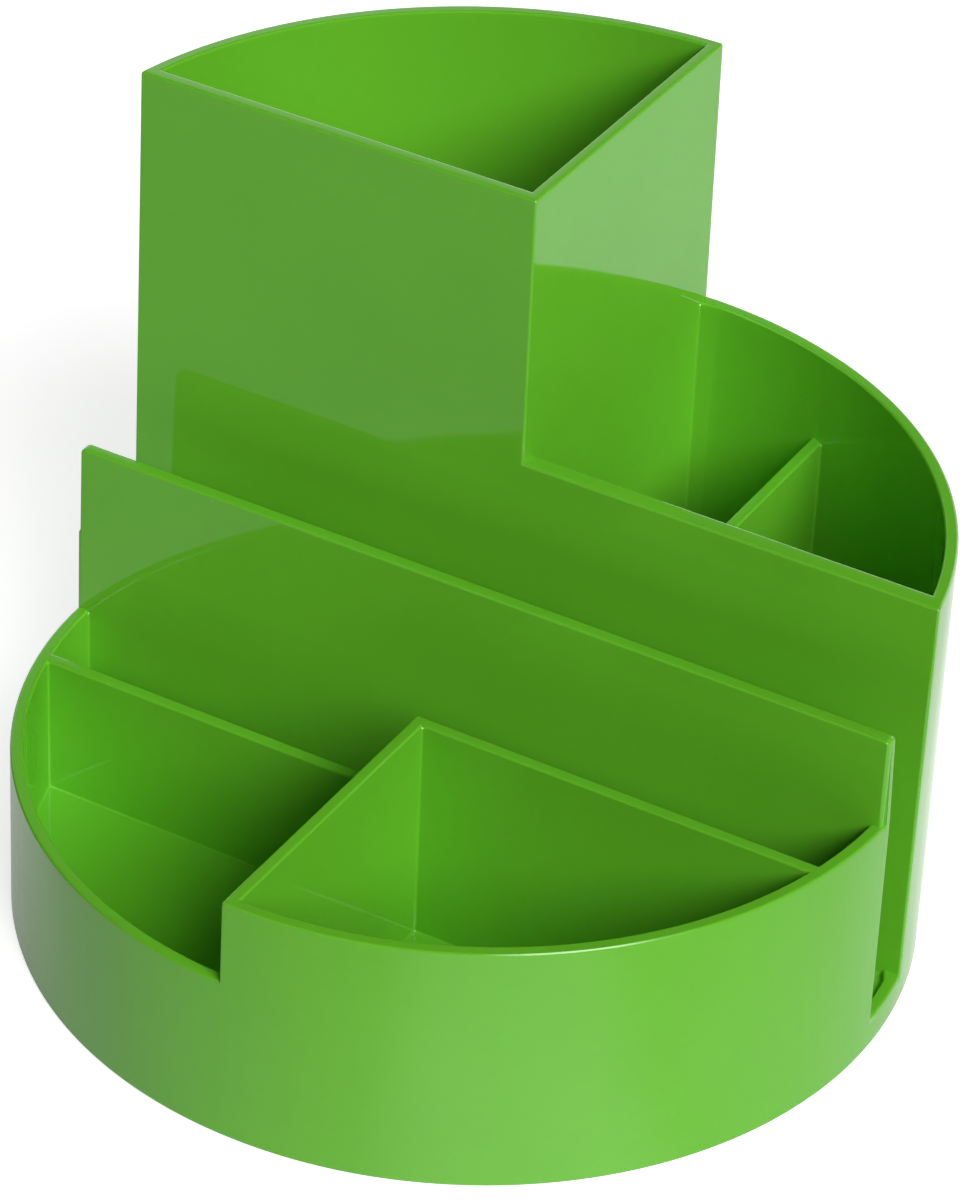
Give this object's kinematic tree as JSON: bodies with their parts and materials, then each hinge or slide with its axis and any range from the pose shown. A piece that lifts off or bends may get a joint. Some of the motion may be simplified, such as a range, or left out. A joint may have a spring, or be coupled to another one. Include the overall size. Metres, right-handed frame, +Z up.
{
  "type": "pen holder",
  "caption": "Round desk holder: tall pen tower, middling bins, a quadrant bin, a low tray, a narrow strip well and an open letter slot between upright walls.",
  "frame": {"origin": "centre of the round base, on the surface that the holder stands on", "axes": "+Z up; X along the letter slot, with the pen tower at -X and the quadrant bin at +X; -Y towards the user, with the tower behind at +Y"},
  "size_m": [0.15, 0.15, 0.1253],
  "materials": {
    "green_plastic": "polished injection moulding in bright green"
  },
  "bodies": {
    "root": {"base": "green_plastic", "slot_lip_left": "green_plastic", "slot_lip_right": "green_plastic", "tray_rim": "green_plastic", "quadrant_rim": "green_plastic", "rear_rim": "green_plastic", "tower_rim": "green_plastic", "middle_wall": "green_plastic", "tower_front_wall": "green_plastic", "tower_side_wall": "green_plastic", "rear_front_wall": "green_plastic", "rear_divider": "green_plastic", "tray_divider": "green_plastic", "quadrant_back_wall": "green_plastic", "quadrant_side_wall": "green_plastic"}
  },
  "joints": []
}
